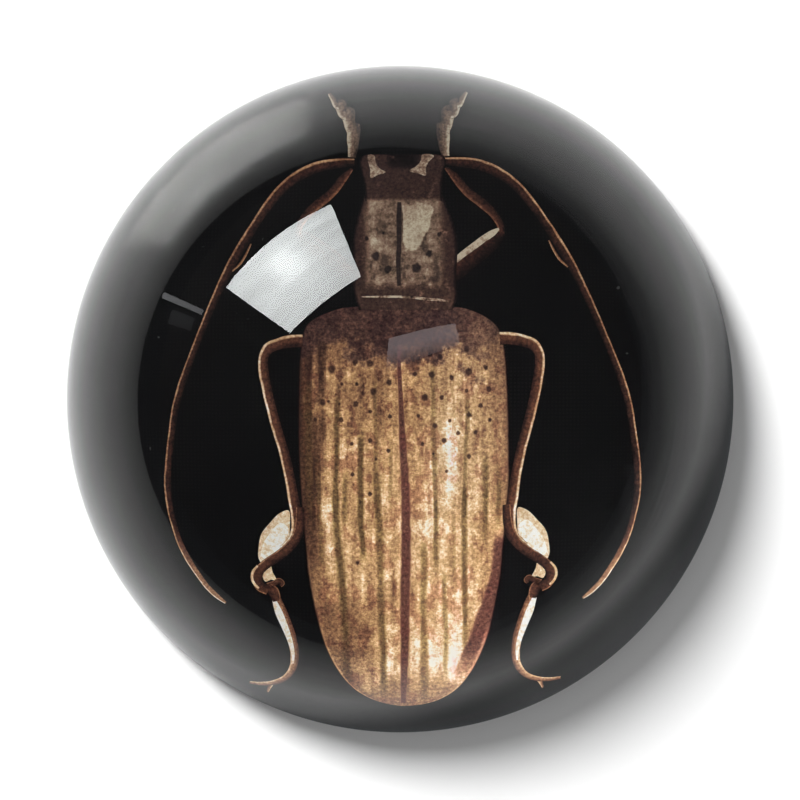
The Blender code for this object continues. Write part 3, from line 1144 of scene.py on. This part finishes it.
def makeLights():
    azimuth, lean = radians(lampSet["softboxAzimuth"]), radians(lampSet["softboxLean"])
    distance, height = lampSet["softboxDistance"], lampSet["softboxHeight"]
    where = (distance * np.cos(azimuth), distance * np.sin(azimuth), height)
    width, tall = lampSet["softboxSize"]
    # the softbox as the dome mirrors it, and the light that it gives to the picture
    turn = (pi / 2 + lean, 0, azimuth - pi / 2)
    plane("softbox_face", width, tall, softboxPaint(), ["glossy"], turn, where)
    power = lampSet["softboxLight"] * width * tall * pi
    turn = (lean - pi / 2, 0, azimuth - pi / 2)
    hang("softbox", "RECTANGLE", (width, tall), power, turn, where, "diffuse")
    # a high soft light for the floor, which gives the short shadow
    azimuth, rise = radians(lampSet["topAzimuth"]), radians(lampSet["topElevation"])
    level = np.array([np.cos(rise) * np.cos(azimuth), np.cos(rise) * np.sin(azimuth)])
    where = lampSet["topDistance"] * np.array([*level, np.sin(rise)])
    turn = (rise - pi / 2, 0, azimuth - pi / 2)
    hang("top", "ELLIPSE", lampSet["topSize"], lampSet["topPower"], turn, where,
         "transmission")


glintSet = {
    "panel": [(-0.067, 0.361, 1.0), (0.355, 0.485, 1.0), (0.372, 0.342, 1.0),
              (-0.081, 0.150, 1.0)],
    "panelShine": 2.1,
    "windowAzimuth": 158.0,
    "windowDistance": 180.0 * mm,
    # the window's frame and its blind: place across, low, high and width in mm, and brightness
    "windowBars": [(-5.3, 6.7, 68.7, 4.4, 1.7), (7.0, 28.0, 62.0, 11.0, 0.26)],
}


def panelPaint():
    # a pale panel that fades out towards its lower side
    paint = Paint("overhead_panel_glow")
    x, y = paint.flat(paint.place())
    lower = y - x * 0.29
    paint.glow((0.98, 0.96, 1.0), paint.step(lower, 0.15, 0.33) * glintSet["panelShine"])
    return paint


def makeGlints():
    # Two faint shapes that the dome mirrors: the panel overhead and a window beside it, whose
    # bars are upright rectangles square to the window's direction.
    staged("overhead_panel", glintSet["panel"], [(0, 1, 2, 3)], panelPaint(), ["glossy"])
    bars = np.array(glintSet["windowBars"])
    middle, low, high, width = bars[:, :4].T * mm
    sides = middle[:, None] + width[:, None] * np.array([-0.5, 0.5, 0.5, -0.5])
    heights = np.stack([low, low, high, high], axis=-1)
    turn, away = radians(glintSet["windowAzimuth"]), glintSet["windowDistance"]
    places = np.stack([away * np.cos(turn) - sides * np.sin(turn),
                       away * np.sin(turn) + sides * np.cos(turn), heights], axis=-1)
    faces = np.arange(4 * len(bars)).reshape(-1, 4).tolist()
    glow = Paint("slatted_window_glow")
    glow.glow((0.97, 0.97, 1.0), glow.mark("shine"))
    window = staged("slatted_window", places.reshape(-1, 3), faces, glow, ["glossy"])
    mark = window.data.attributes.new("shine", "FLOAT", "POINT")
    mark.data.foreach_set("value", np.repeat(bars[:, 4], 4).astype(np.float32))


def makeCamera():
    data = bpy.data.cameras.new("camera")
    data.sensor_width = 36.0
    data.lens = data.sensor_width * eyeSet["height"] / eyeSet["fieldWidth"]
    data.clip_start = 0.01
    data.clip_end = 20
    camera = bpy.data.objects.new("camera", data)
    camera.location = (0, -eyeSet["lookDown"], domeCentreZ + eyeSet["height"])
    bpy.context.scene.collection.objects.link(camera)
    bpy.context.scene.camera = camera


makeFloor()
makeShade()
makeWorld()
makeLights()
makeGlints()
makeCamera()
bpy.context.scene.view_settings.view_transform = "Standard"
print("studio set")
